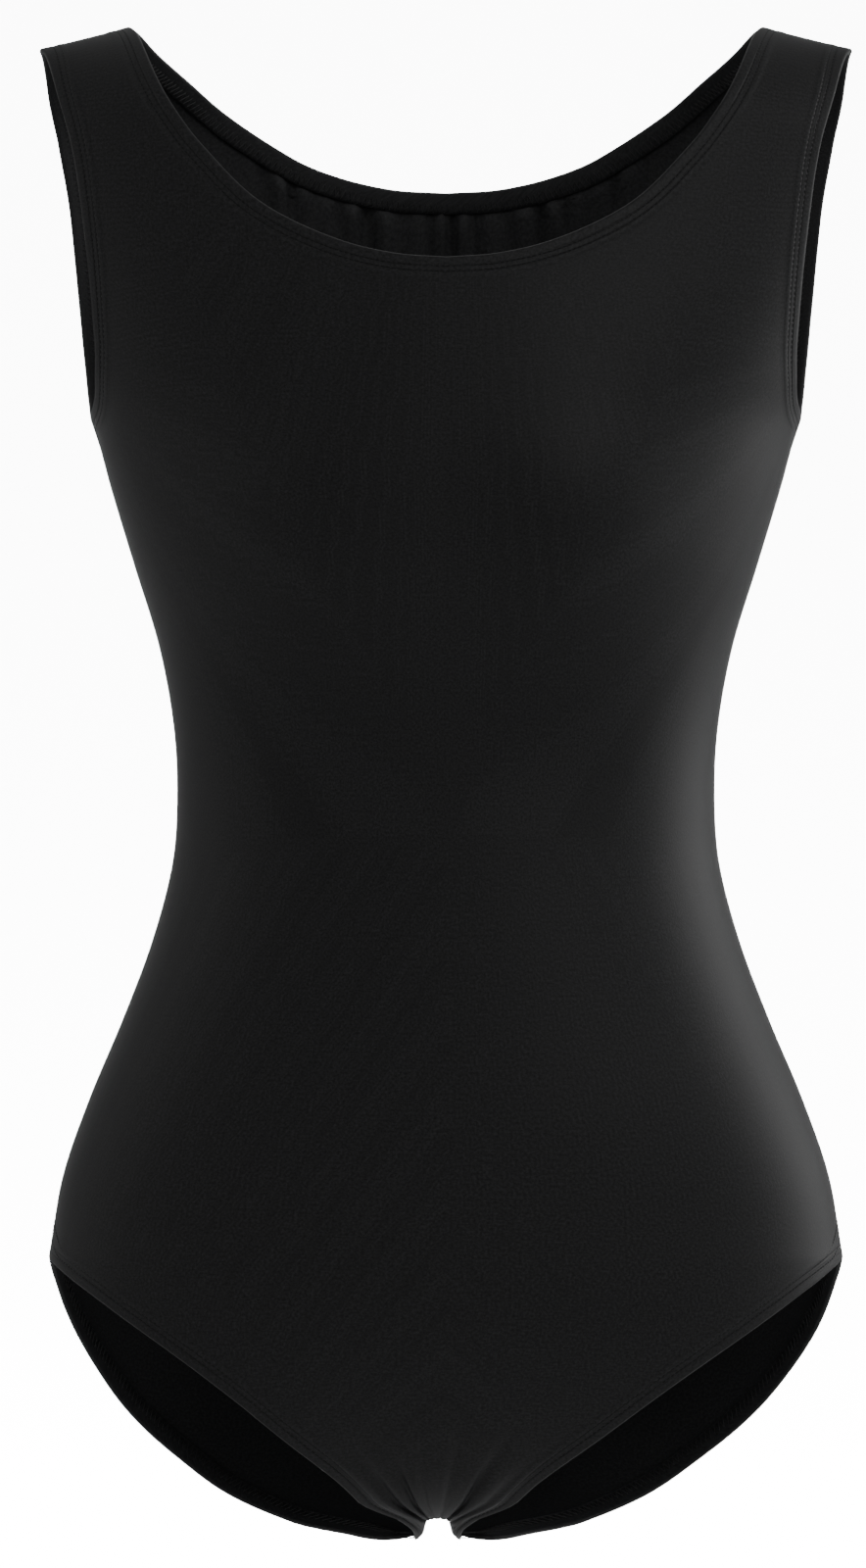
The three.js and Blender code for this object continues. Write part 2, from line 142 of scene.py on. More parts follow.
def body(side, u, w):
    u, w = np.broadcast_arrays(np.asarray(u, float), np.asarray(w, float))
    x = half_width(np.maximum(w, 0)) * np.sin(u)
    under = np.where(w < 0, np.cos(-w / UNDER_ROUND), 1)
    over = np.where(w > ROUND_START, np.sin((RIDGE - w) / SHOULDER_ROUND), 1)
    facing = np.where(under < 0, -side, side)
    z = height_at(x, w)
    depth = np.where(facing < 0, front_depth(w), back_depth(w)) * np.cos(u)
    full = np.where(facing < 0, hill(np.abs(x), z, **BUST), hill(np.abs(x), z, **SEAT))
    y = side * under * over * (depth + full)
    return np.stack([x, y, z], -1)


def slopes(side, u, w):
    du = (body(side, u + 0.01, w) - body(side, u - 0.01, w)) / 0.02
    dw = (body(side, u, w + 1) - body(side, u, w - 1)) / 2
    normal = -side * np.cross(du, dw)
    return du, dw, normal / np.linalg.norm(normal, axis=-1, keepdims=True)


def locate(x, z):
    low, high = -UNDER_ROUND * math.pi / 2, RIDGE - 0.1
    for _ in range(50):
        mid = (low + high) / 2
        low, high = (mid, high) if height_at(x, mid) < z else (low, mid)
    return math.asin(min(x / float(half_width(max(low, 0))), 1)), low


def path(side, places, steps, crowd=1.0):
    places = np.array(places, float)
    run = np.r_[0, np.cumsum(np.linalg.norm(np.diff(body(side, *places.T), axis=0), axis=1))]
    u_of, w_of = curve(np.c_[run, places[:, 0]]), curve(np.c_[run, places[:, 1]])
    fine = np.linspace(0, run[-1], 800)
    at = body(side, u_of(fine), w_of(fine))
    length = np.r_[0, np.cumsum(np.linalg.norm(np.diff(at, axis=0), axis=1))]
    want = length[-1] * (1 - (1 - np.linspace(0, 1, steps + 1)) ** crowd)
    along = np.interp(want, length, fine)
    return np.c_[u_of(along), w_of(along)]


LOOSE_BELOW = 95
LOOSE_OVER = 85
SWAY = 3.5
SAG = 0.06
DRAWN_IN = 0.62
DRAWN_BELOW = (20, 16)
DRAWN_WITHIN = (62, 37)


def in_frame(points):
    """Body places in mm to metres, with the loose lower end swayed and its strip drawn in."""
    x, y, z = np.asarray(points).T
    slack = smooth((LOOSE_BELOW - z) / LOOSE_OVER)
    low_down = smooth((DRAWN_BELOW[0] - z) / DRAWN_BELOW[1])
    gather = 1 - DRAWN_IN * low_down * smooth((DRAWN_WITHIN[0] - np.abs(x)) / DRAWN_WITHIN[1])
    settled = np.stack([x * gather - SWAY * slack, y, z - SAG * np.maximum(y, 0) * slack], -1)
    return settled * 0.001 - np.array([0, 0, SHOULDER_Z * 0.001])


HEM = 8.5
CLOTH = 0.5
CLOTH_MID = -0.3
HEM_MID = -1.8
HEM_PROFILE = [(-0.45, -0.45), (-0.75, -1.05), (-0.45, -1.65), (0.2, HEM_MID)]
HEM_PROFILE += [(q, HEM_MID) for q in (2.5, 4.6, 6.6, HEM)]
HEM_LIFT = 0.3
TUCK_DEPTH = 0.22
TUCK_PLACE = (5, 1.9)
COLUMNS = 60
NEEDLES = (3.8, 6.3)
STITCH = 2.3
EDGE_SEEN = 12
MEAN_RADIUS = 130
OUTLINE = {
    "front": dict(
        side=-1, seam=-UNDER_ROUND * CROTCH_ANGLE, leg_start=65, turn=1.04, middle=545.2,
        leg=[(39.5, 26), (54.2, 38), (82.8, 60), (104.5, 76), (130.4, 93.8), (151, 108),
             (164, 117)],
        arm=[(149.7, 488), (149, 505), (150.4, 528), (153.6, 560), (159, 596), (166.3, 622)],
        neck=[(20.6, 546.7), (42.2, 551.6), (65.8, 561.4), (82.7, 572), (97.5, 586.6),
              (111.5, 603.3), (126, 629)],
        rows=(14, 56, 64, 20, 64),
    ),
    "back": dict(
        side=1, seam=-UNDER_ROUND * (math.pi - CROTCH_ANGLE), leg_start=78.5, turn=0.95,
        middle=581.2,
        leg=[(38, 0.2), (50, 3.2), (62, 7.4), (78, 13.6), (107, 30.2), (128, 46.4), (144, 63.2),
             (156, 81), (164, 98), (168, 111)],
        arm=[(153.2, 487), (155, 501), (157.7, 526), (162, 568), (167, 599), (171, 620)],
        neck=[(24.5, 582.8), (48.9, 588.5), (68, 596.5), (90, 610.2), (109, 625.5), (127, 641)],
        rows=(3, 57, 64, 24, 60),
    ),
}


def plan(shape):
    side, rows, seam = shape["side"], shape["rows"], shape["seam"]
    strip = -UNDER_ROUND * math.radians(shape["leg_start"])
    edge_u = math.asin(CROTCH_HALF / HIP_HALF)
    side_u = math.pi / 2 - 0.0008
    neck_start = locate(0, shape["middle"])
    leg = [(edge_u, strip), *(locate(*p) for p in shape["leg"]), (side_u, 0)]
    arm = [(side_u, UNDERARM), *(locate(*p) for p in shape["arm"]), locate(STRAP[1], 650)]
    neck = [neck_start, *(locate(*p) for p in shape["neck"]), locate(STRAP[0], 650)]
    arm_places = path(side, arm, rows[3] + rows[4], 1.3)
    inner = [
        path(side, [(0, seam), (0, strip * shape["turn"])], rows[0]),
        path(side, [(0, strip * shape["turn"]), (0, 24)], rows[1]),
        path(side, [(0, 24), (0, 335)], rows[2]),
        path(side, [(0, 335), neck_start], rows[3]),
        path(side, neck, rows[4], 1.3),
    ]
    outer = [
        path(side, [(edge_u, seam), (edge_u, strip)], rows[0]),
        path(side, leg, rows[1]),
        path(side, [(side_u, 0), (side_u, UNDERARM)], rows[2]),
        arm_places[: rows[3] + 1],
        arm_places[rows[3] :],
    ]
    inner, outer = (np.vstack([run[0][0], *(part[1:] for part in run)]) for run in (inner, outer))
    hip, underarm = rows[0] + rows[1], sum(rows[:3])
    return dict(side=side, inner=inner, outer=outer, hip=hip, underarm=underarm,
                neck_row=underarm + rows[3])


def stations(side, places, towards, ends):
    at = body(side, *places.T)
    along = np.gradient(at, axis=0)
    normal = slopes(side, *places.T)[2]
    inward = np.cross(normal, along)
    inward *= np.sign(np.sum(inward * (towards - at), axis=1))[:, None]
    for i, end in ((0, ends[0]), (-1, ends[1])):
        inward[i] = end - at[i] - normal[i] * np.dot(end - at[i], normal[i])
    inward /= np.linalg.norm(inward, axis=1, keepdims=True)
    return dict(side=side, places=places, inward=inward)


def mirrored(run):
    return dict(side=run["side"], places=run["places"] * [-1, 1], inward=run["inward"] * [-1, 1, 1])


def on_layer(run, q, n):
    u, w = run["places"].T
    side, inward = run["side"], run["inward"]
    du, dw, _ = slopes(side, u, w)
    uu, uw, ww = (du * du).sum(1), (du * dw).sum(1), (dw * dw).sum(1)
    pu, pw = (du * inward).sum(1) * q, (dw * inward).sum(1) * q
    det = uu * ww - uw * uw
    u2, w2 = u + (pu * ww - pw * uw) / det, w + (pw * uu - pu * uw) / det
    return body(side, u2, w2) + slopes(side, u2, w2)[2] * n


def hem_runs(p):
    side, inner, outer = p["side"], p["inner"], p["outer"]
    hip, underarm, neck_row = p["hip"], p["underarm"], p["neck_row"]
    put = lambda place: body(side, *place)
    below = put((0, inner[neck_row][1] - 20))
    above = body(side, 0 * outer[: hip + 1, 0], outer[: hip + 1, 1] + 20)
    first_in = put((inner[0] + outer[0]) / 2)
    return dict(
        neck=stations(side, inner[neck_row:], body(side, *outer[neck_row:].T),
                      (below, put(inner[-1] * 0.9 + outer[-1] * 0.1))),
        arm=stations(side, outer[underarm:], body(side, *inner[underarm:].T),
                     (put(outer[underarm - 1]), put(inner[-1] * 0.1 + outer[-1] * 0.9))),
        leg=stations(side, outer[: hip + 1], above, (first_in, put(outer[hip + 1]))),
    )


PLAN = {name: plan(shape) for name, shape in OUTLINE.items()}
RUNS = {name: hem_runs(p) for name, p in PLAN.items()}


GATHER_DEPTH = 3.3
GATHER_TOP = 581
GATHER_LENGTH = 66
GATHER_HALF = 96
GATHER_END = 430
CROTCH_FOLD_DEPTH = 2.7
CROTCH_FOLD_REACH = (28, 19)
CROTCH_FOLDS = (
    (-41, 3.4, 1), (-27, 3, 0.9), (-12, 3.5, 0.5), (9, 4, 0.5), (30, 3.4, 0.9), (46, 4, 0.6),
)


def ease_of_cloth(side, at, near):
    """How far the cloth stands off: gathers below the back neck, folds above the crotch."""
    x, _, z = at.T
    if side > 0:
        below = np.clip((GATHER_TOP + 0.005 * x**2 - z) / GATHER_LENGTH, 0, 3)
        uneven = 0.7 + 0.5 * np.sin(x / 6.1 + 1)
        fan = np.sin(x / 1.9 + 1.1 * np.sin(x / 9)) * uneven - 0.3
        fan = fan * smooth((GATHER_HALF - np.abs(x)) / 30) * (z > GATHER_END)
        return GATHER_DEPTH * fan * np.exp(-below**2) * smooth((near - 5.5) / 8)
    reach, turn = np.hypot(x, z), np.degrees(np.arctan2(x, np.maximum(z, 0.1)))
    valleys = sum(deep * np.exp(-(((turn - at_turn) / wide) ** 2))
                  for at_turn, wide, deep in CROTCH_FOLDS)
    middle, wide = CROTCH_FOLD_REACH
    spread = np.exp(-(((reach - middle) / wide) ** 2)) * smooth((z - 5) / 9)
    return CROTCH_FOLD_DEPTH * (1 - valleys) * spread * smooth((near - 4) / 8)


def mesh_object(name, points, faces):
    mesh = bpy.data.meshes.new(name)
    mesh.from_pydata(in_frame(points).tolist(), [], faces)
    obj = bpy.data.objects.new(name, mesh)
    bpy.context.collection.objects.link(obj)
    bpy.context.view_layer.objects.active = obj
    obj.select_set(True)
    return obj


def face_outward(weld=0):
    bpy.ops.object.mode_set(mode="EDIT")
    bpy.ops.mesh.select_all(action="SELECT")
    if weld:
        bpy.ops.mesh.remove_doubles(threshold=weld)
    bpy.ops.mesh.normals_make_consistent(inside=False)
    bpy.ops.object.mode_set(mode="OBJECT")


def thicken(obj, thickness, other_side=0):
    thick = obj.modifiers.new("thickness", "SOLIDIFY")
    thick.thickness = thickness * 0.001
    thick.offset = 0
    thick.material_offset = other_side
    bpy.ops.object.modifier_apply(modifier="thickness")


def cloth_mesh(name, p, runs):
    side = p["side"]
    lanes = np.linspace(0, 1, COLUMNS + 1)
    lanes = lanes - 0.04 * np.sin(2 * np.pi * lanes)
    u = p["inner"][:, :1] + (p["outer"][:, :1] - p["inner"][:, :1]) * lanes
    w = p["inner"][:, 1:] + (p["outer"][:, 1:] - p["inner"][:, 1:]) * lanes
    both_u, both_w = np.hstack([-u[:, ::-1], u]), np.hstack([w[:, ::-1], w])
    at = body(side, both_u, both_w).reshape(-1, 3)
    normal = slopes(side, both_u, both_w)[2].reshape(-1, 3)
    edges = [on_layer(r, 0, 0) for run in runs.values() for r in (run, mirrored(run))]
    along = np.hstack([
        np.r_[0, np.cumsum(np.linalg.norm(np.diff(edge, axis=0), axis=1))] for edge in edges
    ])
    edges = np.vstack(edges)
    parts = [
        np.sqrt(((part[:, None] - edges[None]) ** 2).sum(-1)) for part in np.array_split(at, 60)
    ]
    near = np.concatenate([part.min(1) for part in parts])
    nearest = np.concatenate([part.argmin(1) for part in parts])
    middle, wide = TUCK_PLACE
    tuck = TUCK_DEPTH * np.exp(-(((near - middle) / wide) ** 2))
    lift = HEM_LIFT * (1 - smooth((near - 7.2) / 3)) - tuck
    off = CLOTH_MID + lift + ease_of_cloth(side, at, near)
    points = [*(at + normal * off[:, None])]
    across = 2 * COLUMNS + 2
    uv = [*np.c_[both_u.ravel() * MEAN_RADIUS, both_w.ravel()]]
    sewn = [*np.c_[near, along[nearest]]]
    rows = len(p["inner"])
    faces, inside = [], []
    for k in range(rows - 1):
        for j in range(across - 1):
            if j == COLUMNS and k >= p["neck_row"]:
                continue
            a = k * across + j
            faces.append((a, a + 1, a + across + 1, a + across))
    starts = dict(
        neck=[k * across + COLUMNS + 1 for k in range(p["neck_row"], rows)],
        arm=[k * across + across - 1 for k in range(p["underarm"], rows)],
        leg=[k * across + across - 1 for k in range(p["hip"] + 1)],
    )
    for kind, run in runs.items():
        for half in (1, -1):
            ring = run if half > 0 else mirrored(run)
            before = [s if half > 0 else (s // across) * across + across - 1 - s % across
                      for s in starts[kind]]
            for depth, (q, n) in enumerate(HEM_PROFILE):
                first = len(points)
                points.extend(on_layer(ring, q, n))
                uv.extend(np.c_[ring["places"][:, 0] * MEAN_RADIUS + q, ring["places"][:, 1]])
                sewn.extend([(-1 - depth, 0)] * len(before))
                here = [first + i for i in range(len(before))]
                for i in range(len(before) - 1):
                    if depth > 1:
                        inside.append(len(faces))
                    faces.append((before[i], before[i + 1], here[i + 1], here[i]))
                before = here
    obj = mesh_object(name, points, faces)
    mesh = obj.data
    mesh.materials.append(JERSEY)
    mesh.materials.append(JERSEY_INSIDE)
    for i in inside:
        mesh.polygons[i].material_index = 1
    corner = [loop.vertex_index for loop in mesh.loops]
    for layer, spots in (("cloth_mm", uv), ("edge_mm", sewn)):
        spots = np.array(spots, float)[corner]
        mesh.uv_layers.new(name=layer).data.foreach_set("uv", spots.ravel())
    face_outward(weld=0.00002)
    bpy.ops.object.shade_smooth()
    face = mesh.polygons[len(mesh.polygons) // 8]
    if face.normal.y * side < 0:
        mesh.flip_normals()
    thicken(obj, CLOTH, other_side=1)
    obj.select_set(False)
    return obj


def sew_edges(nodes, links, shader, tone, knit_bump):
    """Both stitch rows on each edge: the cloth dips there, with painted shade in dips and pricks.
    """
    edge = nodes.new("ShaderNodeUVMap")
    edge.uv_map = "edge_mm"
    parted = nodes.new("ShaderNodeSeparateXYZ")
    links.new(edge.outputs["UV"], parted.inputs["Vector"])
    inwards = nodes.new("ShaderNodeMapRange")
    inwards.inputs["From Max"].default_value = EDGE_SEEN
    links.new(parted.outputs["X"], inwards.inputs["Value"])
    rows = nodes.new("ShaderNodeValToRGB")
    dips = [(needle + away, height) for needle in NEEDLES
            for away, height in ((-0.6, 1), (0, 0), (0.6, 1))]
    stops = [(0, 1), *dips, (8.1, 1), (9.3, 0.55)]
    for i, (place, height) in enumerate(stops):
        ramp = rows.color_ramp.elements
        stop = ramp[i] if i < 2 else ramp.new(place / EDGE_SEEN)
        stop.position, stop.color = place / EDGE_SEEN, (height, height, height, 1)
    links.new(inwards.outputs["Result"], rows.inputs["Fac"])
    tuck = nodes.new("ShaderNodeBump")
    tuck.inputs["Strength"].default_value = 0.8
    tuck.inputs["Distance"].default_value = 0.00025
    links.new(rows.outputs["Color"], tuck.inputs["Height"])
    links.new(knit_bump.outputs["Normal"], tuck.inputs["Normal"])
    links.new(tuck.outputs["Normal"], shader.inputs["Normal"])
    turns = nodes.new("ShaderNodeMath")
    turns.operation = "MULTIPLY"
    turns.inputs[1].default_value = 2 * math.pi / STITCH
    links.new(parted.outputs["Y"], turns.inputs[0])
    pricks = nodes.new("ShaderNodeMath")
    pricks.operation = "SINE"
    links.new(turns.outputs["Value"], pricks.inputs[0])
    depth = nodes.new("ShaderNodeMapRange")
    for key, value in (("From Min", -1), ("From Max", 1), ("To Min", 0.25), ("To Max", 0.9)):
        depth.inputs[key].default_value = value
    links.new(pricks.outputs["Value"], depth.inputs["Value"])
    # Painted shade: colour darkened in the dips, most at each prick, and a step darker inward of
    # the hem.
    shade_in_rows = nodes.new("ShaderNodeMapRange")
    links.new(rows.outputs["Color"], shade_in_rows.inputs["Value"])
    links.new(depth.outputs["Result"], shade_in_rows.inputs["To Min"])
    painted_shade_mix = nodes.new("ShaderNodeMix")
    painted_shade_mix.data_type = "RGBA"
    painted_shade_mix.inputs["A"].default_value = (0.0005, 0.0005, 0.0005, 1)
    links.new(shade_in_rows.outputs["Result"], painted_shade_mix.inputs["Factor"])
    links.new(tone.outputs["Color"], painted_shade_mix.inputs["B"])
    links.new(painted_shade_mix.outputs["Result"], shader.inputs["Base Color"])


def jersey(name, base, speck, rough, sheen, sewn=False):
    material = bpy.data.materials.new(name)
    material.use_nodes = True
    nodes, links = material.node_tree.nodes, material.node_tree.links
    shader = nodes["Principled BSDF"]
    shader.inputs["Sheen Weight"].default_value = sheen
    shader.inputs["Sheen Roughness"].default_value = 0.45
    shader.inputs["Sheen Tint"].default_value = (0.8, 0.82, 0.86, 1)
    shader.inputs["Specular IOR Level"].default_value = 0.22
    where = nodes.new("ShaderNodeUVMap")
    where.uv_map = "cloth_mm"
    grain = nodes.new("ShaderNodeTexNoise")
    grain.inputs["Scale"].default_value = 0.9
    grain.inputs["Detail"].default_value = 3
    grain.inputs["Roughness"].default_value = 0.75
    links.new(where.outputs["UV"], grain.inputs["Vector"])
    tone = nodes.new("ShaderNodeValToRGB")
    tone.color_ramp.elements[0].position = 0.36
    tone.color_ramp.elements[0].color = (*[base * c for c in (0.98, 0.99, 1.04)], 1)
    tone.color_ramp.elements[1].position = 0.68
    tone.color_ramp.elements[1].color = (*[speck * c for c in (0.99, 1.0, 1.05)], 1)
    links.new(grain.outputs["Fac"], tone.inputs["Fac"])
    links.new(tone.outputs["Color"], shader.inputs["Base Color"])
    gloss = nodes.new("ShaderNodeMapRange")
    gloss.inputs["To Min"].default_value = rough - 0.07
    gloss.inputs["To Max"].default_value = rough + 0.1
    links.new(grain.outputs["Fac"], gloss.inputs["Value"])
    links.new(gloss.outputs["Result"], shader.inputs["Roughness"])
    wales = nodes.new("ShaderNodeTexWave")
    wales.inputs["Scale"].default_value = 0.6
    wales.inputs["Distortion"].default_value = 0.6
    wales.inputs["Detail"].default_value = 1
    links.new(where.outputs["UV"], wales.inputs["Vector"])
    courses = nodes.new("ShaderNodeTexWave")
    courses.bands_direction = "Y"
    courses.inputs["Scale"].default_value = 0.8
    courses.inputs["Distortion"].default_value = 0.8
    links.new(where.outputs["UV"], courses.inputs["Vector"])
    knit = nodes.new("ShaderNodeMath")
    knit.operation = "MULTIPLY_ADD"
    links.new(wales.outputs["Fac"], knit.inputs[0])
    faint = nodes.new("ShaderNodeMapRange")
    faint.inputs["To Max"].default_value = 0.05
    links.new(courses.outputs["Fac"], faint.inputs["Value"])
    links.new(faint.outputs["Result"], knit.inputs[1])
    links.new(grain.outputs["Fac"], knit.inputs[2])
    bump = nodes.new("ShaderNodeBump")
    bump.inputs["Strength"].default_value = 0.35
    bump.inputs["Distance"].default_value = 0.0002
    links.new(knit.outputs["Value"], bump.inputs["Height"])
    links.new(bump.outputs["Normal"], shader.inputs["Normal"])
    if sewn:
        sew_edges(nodes, links, shader, tone, bump)
    return material


JERSEY = jersey("jersey_black", base=0.003, speck=0.02, rough=0.5, sheen=0.04, sewn=True)
# Inner face: lighter than the face, partly its matte wrong side and partly painted light in shade.
JERSEY_INSIDE = jersey("jersey_inside", base=0.012, speck=0.032, rough=0.6, sheen=0.06)
front_cloth = cloth_mesh("front_cloth", PLAN["front"], RUNS["front"])
back_cloth = cloth_mesh("back_cloth", PLAN["back"], RUNS["back"])
for cloth, node in ((front_cloth, "front_panel"), (back_cloth, "back_panel")):
    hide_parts(node)
    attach(cloth, "root")

# Openings: each finished edge holds a flat woven elastic inside the turned hem, two rows of
# straight stitches from a twin needle on the outside, and the looper thread that zigzags
# between them on the inside.
ELASTIC_SPAN = (0.6, 7.6)
ELASTIC_LEVELS = (-0.75, -1.35)
ELASTIC_STEP = 4.0
STITCH_HALF = (0.00021, 0.00023)
STITCH_LEVEL = 0.02
STITCH_GUIDE_STEP = 2.0
LOOPER_SPAN = (NEEDLES[0] - 0.3, HEM - 0.6)
LOOPER_LEVEL = HEM_MID - 0.5
LOOPER_STEP = 1.2
LOOPER_THICK = 0.00042
SAME_PLACE = 0.4
OPENINGS = {
    "neck": [("front", "neck", -1, True), ("front", "neck", 1, False),
             ("back", "neck", 1, True), ("back", "neck", -1, False)],
    "armhole_left": [("front", "arm", 1, False), ("back", "arm", 1, True)],
    "armhole_right": [("front", "arm", -1, False), ("back", "arm", -1, True)],
    "leg_left": [("front", "leg", 1, False), ("back", "leg", 1, True)],
    "leg_right": [("front", "leg", -1, False), ("back", "leg", -1, True)],
}


def round_opening(pieces, layers, spacing):
    """Even places round an opening on each (distance from the edge, height) layer, in step."""
    loops = []
    for q, n in layers:
        parts = []
        for panel, kind, half, turned in pieces:
            run = RUNS[panel][kind]
            points = on_layer(run if half > 0 else mirrored(run), q, n)
            parts.append(points[::-1] if turned else points)
        loops.append(np.vstack(parts))
    loops = np.array(loops)
    middle = loops.mean(0)
    loops = loops[:, np.linalg.norm(middle - np.roll(middle, 1, axis=0), axis=1) > SAME_PLACE]
    loops = np.concatenate([loops, loops[:, :1]], axis=1)
    middle = loops.mean(0)
    run = np.r_[0, np.cumsum(np.linalg.norm(np.diff(middle, axis=0), axis=1))]
    count = max(int(round(run[-1] / spacing / 2)) * 2, 4)
    want = np.arange(count) * run[-1] / count
    even = np.array([[np.interp(want, run, loop[:, i]) for i in range(3)] for loop in loops])
    return np.moveaxis(even, 1, 2)


def line_object(name, points, thickness, closed=True):
    data = bpy.data.curves.new(name, "CURVE")
    data.dimensions = "3D"
    data.bevel_depth = thickness / 2
    data.bevel_resolution = 1
    data.resolution_u = 1
    spline = data.splines.new("POLY")
    spline.points.add(len(points) - 1)
    spline.points.foreach_set("co", np.c_[points, np.ones(len(points))].ravel())
    spline.use_cyclic_u = closed
    data.use_fill_caps = not closed
    obj = bpy.data.objects.new(name, data)
    bpy.context.collection.objects.link(obj)
    return obj


def as_mesh(obj):
    bpy.ops.object.select_all(action="DESELECT")
    obj.select_set(True)
    bpy.context.view_layer.objects.active = obj
    bpy.ops.object.convert(target="MESH")
    bpy.ops.object.shade_smooth()
    obj.select_set(False)
    return bpy.context.view_layer.objects.active


def stitch_row(name, points):
    guide_points = in_frame(points)
    length = np.linalg.norm(guide_points - np.roll(guide_points, 1, axis=0), axis=1).sum()
    guide = line_object(name + "_guide", guide_points, 0)
    count = int(round(length * 1000 / STITCH))
    pitch = length / count
    bpy.ops.mesh.primitive_uv_sphere_add(
        segments=8, ring_count=6, radius=1, rotation=(0, math.pi / 2, 0)
    )
    row = bpy.context.object
    row.name = name
    row.scale = (*STITCH_HALF, pitch * 0.43)
    bpy.ops.object.transform_apply(location=False, rotation=True, scale=True)
    row.data.transform(Matrix.Translation((pitch / 2, 0, 0)))
    copies = row.modifiers.new("stitches", "ARRAY")
    copies.count = count
    copies.use_relative_offset = False
    copies.use_constant_offset = True
    copies.constant_offset_displace = (pitch, 0, 0)
    follow = row.modifiers.new("edge", "CURVE")
    follow.object = guide
    bpy.ops.object.modifier_apply(modifier="stitches")
    bpy.ops.object.modifier_apply(modifier="edge")
    bpy.ops.object.shade_smooth()
    row.select_set(False)
    bpy.data.objects.remove(guide)
    return row


def band_mesh(name, pieces, spans, levels):
    corners = [(spans[0], levels[0]), (spans[1], levels[0]),
               (spans[1], levels[1]), (spans[0], levels[1])]
    rings = round_opening(pieces, corners, ELASTIC_STEP)
    count = rings.shape[1]
    points = np.vstack(rings)
    faces = [(m * count + i, m * count + (i + 1) % count, (m + 1) % 4 * count + (i + 1) % count,
              (m + 1) % 4 * count + i) for m in range(4) for i in range(count)]
    obj = mesh_object(name, points, faces)
    face_outward()
    obj.select_set(False)
    return obj


def yarn(name, colour, rough, scale):
    material = bpy.data.materials.new(name)
    material.use_nodes = True
    nodes, links = material.node_tree.nodes, material.node_tree.links
    shader = nodes["Principled BSDF"]
    shader.inputs["Roughness"].default_value = rough
    shader.inputs["Sheen Weight"].default_value = 0.05
    shader.inputs["Specular IOR Level"].default_value = 0.15
    where = nodes.new("ShaderNodeTexCoord")
    twist = nodes.new("ShaderNodeTexNoise")
    twist.inputs["Scale"].default_value = scale
    twist.inputs["Detail"].default_value = 2
    links.new(where.outputs["Object"], twist.inputs["Vector"])
    tone = nodes.new("ShaderNodeValToRGB")
    tone.color_ramp.elements[0].color = (*[colour * 0.6] * 3, 1)
    tone.color_ramp.elements[1].color = (*[colour * 1.5] * 3, 1)
    links.new(twist.outputs["Fac"], tone.inputs["Fac"])
    links.new(tone.outputs["Color"], shader.inputs["Base Color"])
    bump = nodes.new("ShaderNodeBump")
    bump.inputs["Strength"].default_value = 0.4
    bump.inputs["Distance"].default_value = 0.0001
    links.new(twist.outputs["Fac"], bump.inputs["Height"])
    links.new(bump.outputs["Normal"], shader.inputs["Normal"])
    return material


THREAD = yarn("thread_black", colour=0.004, rough=0.7, scale=2500)
LOOPER = yarn("looper_black", colour=0.06, rough=0.7, scale=2500)
ELASTIC = yarn("elastic_black", colour=0.03, rough=0.7, scale=900)
for opening, pieces in OPENINGS.items():
    elastic = band_mesh(opening + "_elastic_band", pieces, ELASTIC_SPAN, ELASTIC_LEVELS)
    elastic.data.materials.append(ELASTIC)
    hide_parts(opening + "_elastic")
    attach(elastic, "root")
    for i, q in enumerate(NEEDLES, 1):
        guide = round_opening(pieces, [(q, STITCH_LEVEL)], STITCH_GUIDE_STEP)[0]
        row = stitch_row(f"{opening}_stitches_{i}", guide)
        row.data.materials.append(THREAD)
        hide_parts(f"{opening}_needle_thread_{i}")
        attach(row, "root")
    near, far = round_opening(pieces, [(q, LOOPER_LEVEL) for q in LOOPER_SPAN], LOOPER_STEP)
    zigzag = np.where((np.arange(len(near)) % 2 == 0)[:, None], near, far)
    looper = as_mesh(line_object(opening + "_looper", in_frame(zigzag), LOOPER_THICK))
    looper.data.materials.append(LOOPER)
    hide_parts(opening + "_looper_thread")
    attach(looper, "root")

# Seams and lining: the side, shoulder and crotch seams are overlocked inside and pressed
# flat, and a soft knitted lining covers the crotch from its seam up the front.
SEAM_LEVEL = -1.0
SEAM_THICK = 0.7
SEAM_HALF = 3.3
SEAM_THREAD = 0.0004
SEAM_THREAD_LEVEL = SEAM_LEVEL - 0.5
SIDE_SEAM = (14, UNDERARM - 10)
SHOULDER_INSET = 10
CROTCH_SEAM_HALF = 15
TOP_HALF = float(half_width(RIDGE))
LINING_ANGLES = (97.5, 47)
LINING_LEVEL = -0.95
LINING_THICK = 0.5


def patch(name, rows_u, rows_w, level, thickness):
    at = body(-1, rows_u, rows_w) + slopes(-1, rows_u, rows_w)[2] * level
    count, across = rows_u.shape
    faces = [(k * across + j, k * across + j + 1, (k + 1) * across + j + 1, (k + 1) * across + j)
             for k in range(count - 1) for j in range(across - 1)]
    obj = mesh_object(name, at.reshape(-1, 3), faces)
    corner = [loop.vertex_index for loop in obj.data.loops]
    uv = np.c_[rows_u.ravel() * MEAN_RADIUS, rows_w.ravel()][corner]
    obj.data.uv_layers.new(name="cloth_mm").data.foreach_set("uv", uv.ravel())
    thicken(obj, thickness)
    face_outward()
    bpy.ops.object.shade_smooth()
    obj.select_set(False)
    return obj


def overlock(name, node, centre, cross):
    steps = np.linspace(-1, 1, 7)
    rows_u = centre[:, :1] + cross[:, :1] * steps
    rows_w = centre[:, 1:] + cross[:, 1:] * steps
    allowance = patch(name, rows_u, rows_w, SEAM_LEVEL, SEAM_THICK)
    sway = np.where(np.arange(len(centre)) % 2 == 0, -1.0, 1.0)[:, None]
    places = centre + cross * sway
    at = body(-1, *places.T) + slopes(-1, *places.T)[2] * SEAM_THREAD_LEVEL
    loops = as_mesh(line_object(name + "_loops", in_frame(at), SEAM_THREAD, closed=False))
    for part in (allowance, loops):
        part.data.materials.append(THREAD)
    bpy.ops.object.select_all(action="DESELECT")
    allowance.select_set(True)
    loops.select_set(True)
    bpy.context.view_layer.objects.active = allowance
    bpy.ops.object.join()
    allowance.select_set(False)
    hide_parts(node)
    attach(allowance, "root")


